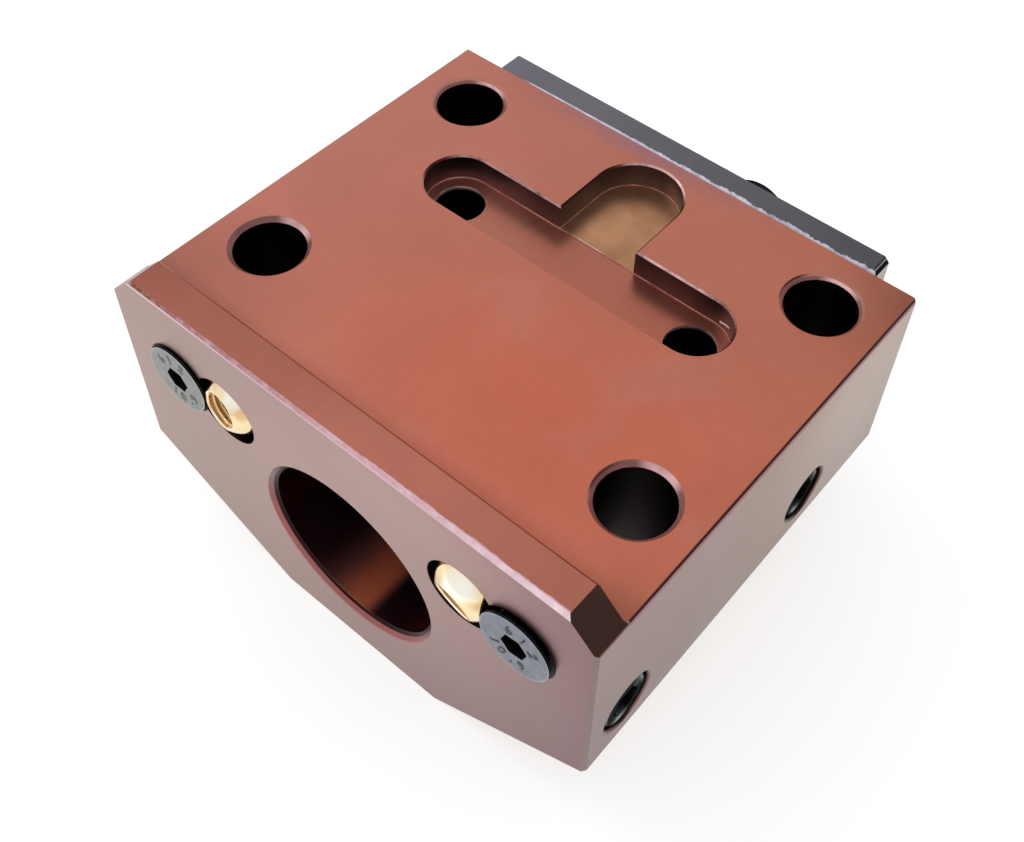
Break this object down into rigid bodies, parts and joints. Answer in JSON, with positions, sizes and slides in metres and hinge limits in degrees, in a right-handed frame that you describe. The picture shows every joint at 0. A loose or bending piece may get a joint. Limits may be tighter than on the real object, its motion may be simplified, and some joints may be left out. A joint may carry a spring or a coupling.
{
  "type": "bolt-on boring bar block",
  "caption": "Machined steel turret block with a boring bar bore, a coolant pocket in its mounting face, swivelling brass coolant nozzles, side clamp screws and a dark back plate",
  "frame": {"origin": "centre of the four turret bolt holes, on the mounting face", "axes": "+Z out of the mounting face, -Y out of the mouth of the bar bore, +X towards the clamp screws"},
  "size_m": [0.092, 0.0877, 0.056],
  "materials": {
    "block_steel": "ground and case-hardened, brown tint",
    "plate_steel": "dark oxide, filed front edge",
    "nozzle_brass": "polished",
    "screw_steel": "grey oxide",
    "black_steel": "black oxide",
    "seal_rubber": "moulded"
  },
  "bodies": {
    "block": {"tool_block": "block_steel", "back_plate": "plate_steel", "plate_seal": "seal_rubber", "plate_screws": "black_steel", "nozzle_seal_left": "seal_rubber", "nozzle_seal_right": "seal_rubber", "nozzle_screw_left": "screw_steel", "nozzle_screw_right": "screw_steel"},
    "nozzle_left": {"nozzle_left": "nozzle_brass"},
    "nozzle_right": {"nozzle_right": "nozzle_brass"},
    "clamp_front": {"clamp_screw_front": "black_steel"},
    "clamp_rear": {"clamp_screw_rear": "black_steel"}
  },
  "joints": [
    {"name": "nozzle_left_swivel", "type": "hinge", "parent": "block", "child": "nozzle_left", "pos_m": [-0.0234, -0.0403, -0.0103], "axis": [1, 0, 0], "range_deg": [-14, 22]},
    {"name": "nozzle_right_swivel", "type": "hinge", "parent": "block", "child": "nozzle_right", "pos_m": [0.0234, -0.0408, -0.0103], "axis": [1, 0, 0], "range_deg": [-30, 5]},
    {"name": "clamp_front_travel", "type": "slide", "parent": "block", "child": "clamp_front", "axis": [-1, 0, 0], "range_m": [0, 0.0097]},
    {"name": "clamp_rear_travel", "type": "slide", "parent": "block", "child": "clamp_rear", "axis": [-1, 0, 0], "range_m": [0, 0.0095]}
  ]
}
